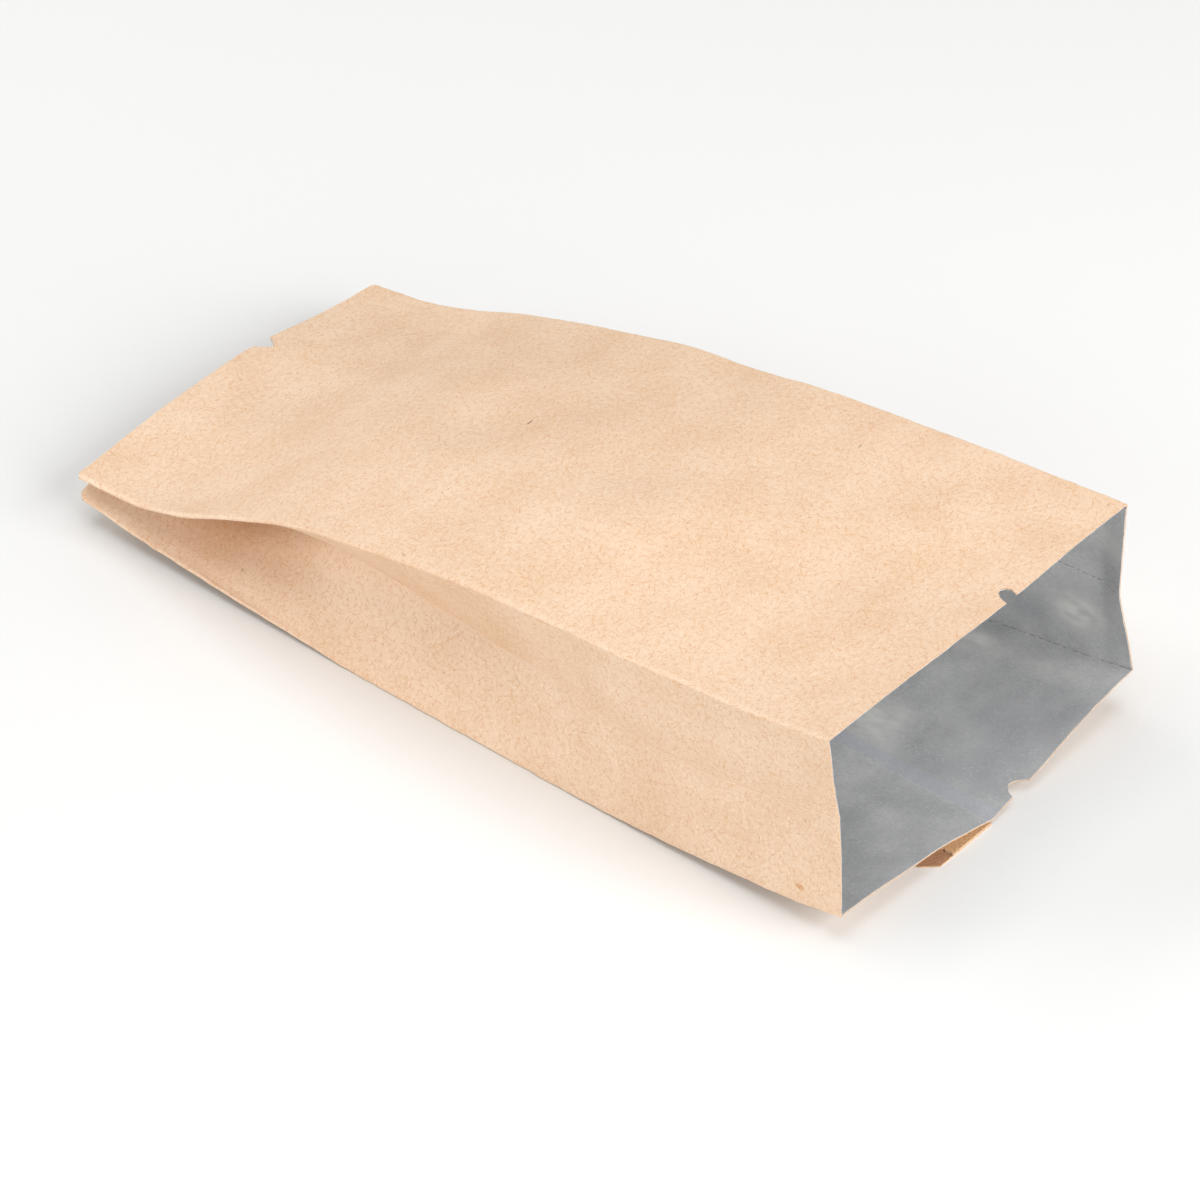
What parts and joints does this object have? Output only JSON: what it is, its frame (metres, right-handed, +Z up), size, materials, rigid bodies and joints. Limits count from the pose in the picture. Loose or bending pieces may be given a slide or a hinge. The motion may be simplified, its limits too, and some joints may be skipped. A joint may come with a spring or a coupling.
{
  "type": "kraft paper bag",
  "caption": "Empty side-gusset kraft paper bag with a foil lining, lying on its back panel with its mouth open and its far end sealed flat.",
  "frame": {"origin": "on the table, under the middle of the lying bag's bounding box", "axes": "+X along the bag towards its open mouth, +Y across it to the far gusset, +Z up from the back panel it lies on"},
  "size_m": [0.1946, 0.085, 0.0464],
  "materials": {
    "kraft_paper": "matt light-brown kraft paper with short fibres",
    "foil": "dull grey aluminium laminate with faint creases"
  },
  "bodies": {
    "root": {"kraft_shell": "kraft_paper", "foil_lining": "foil"}
  },
  "joints": []
}
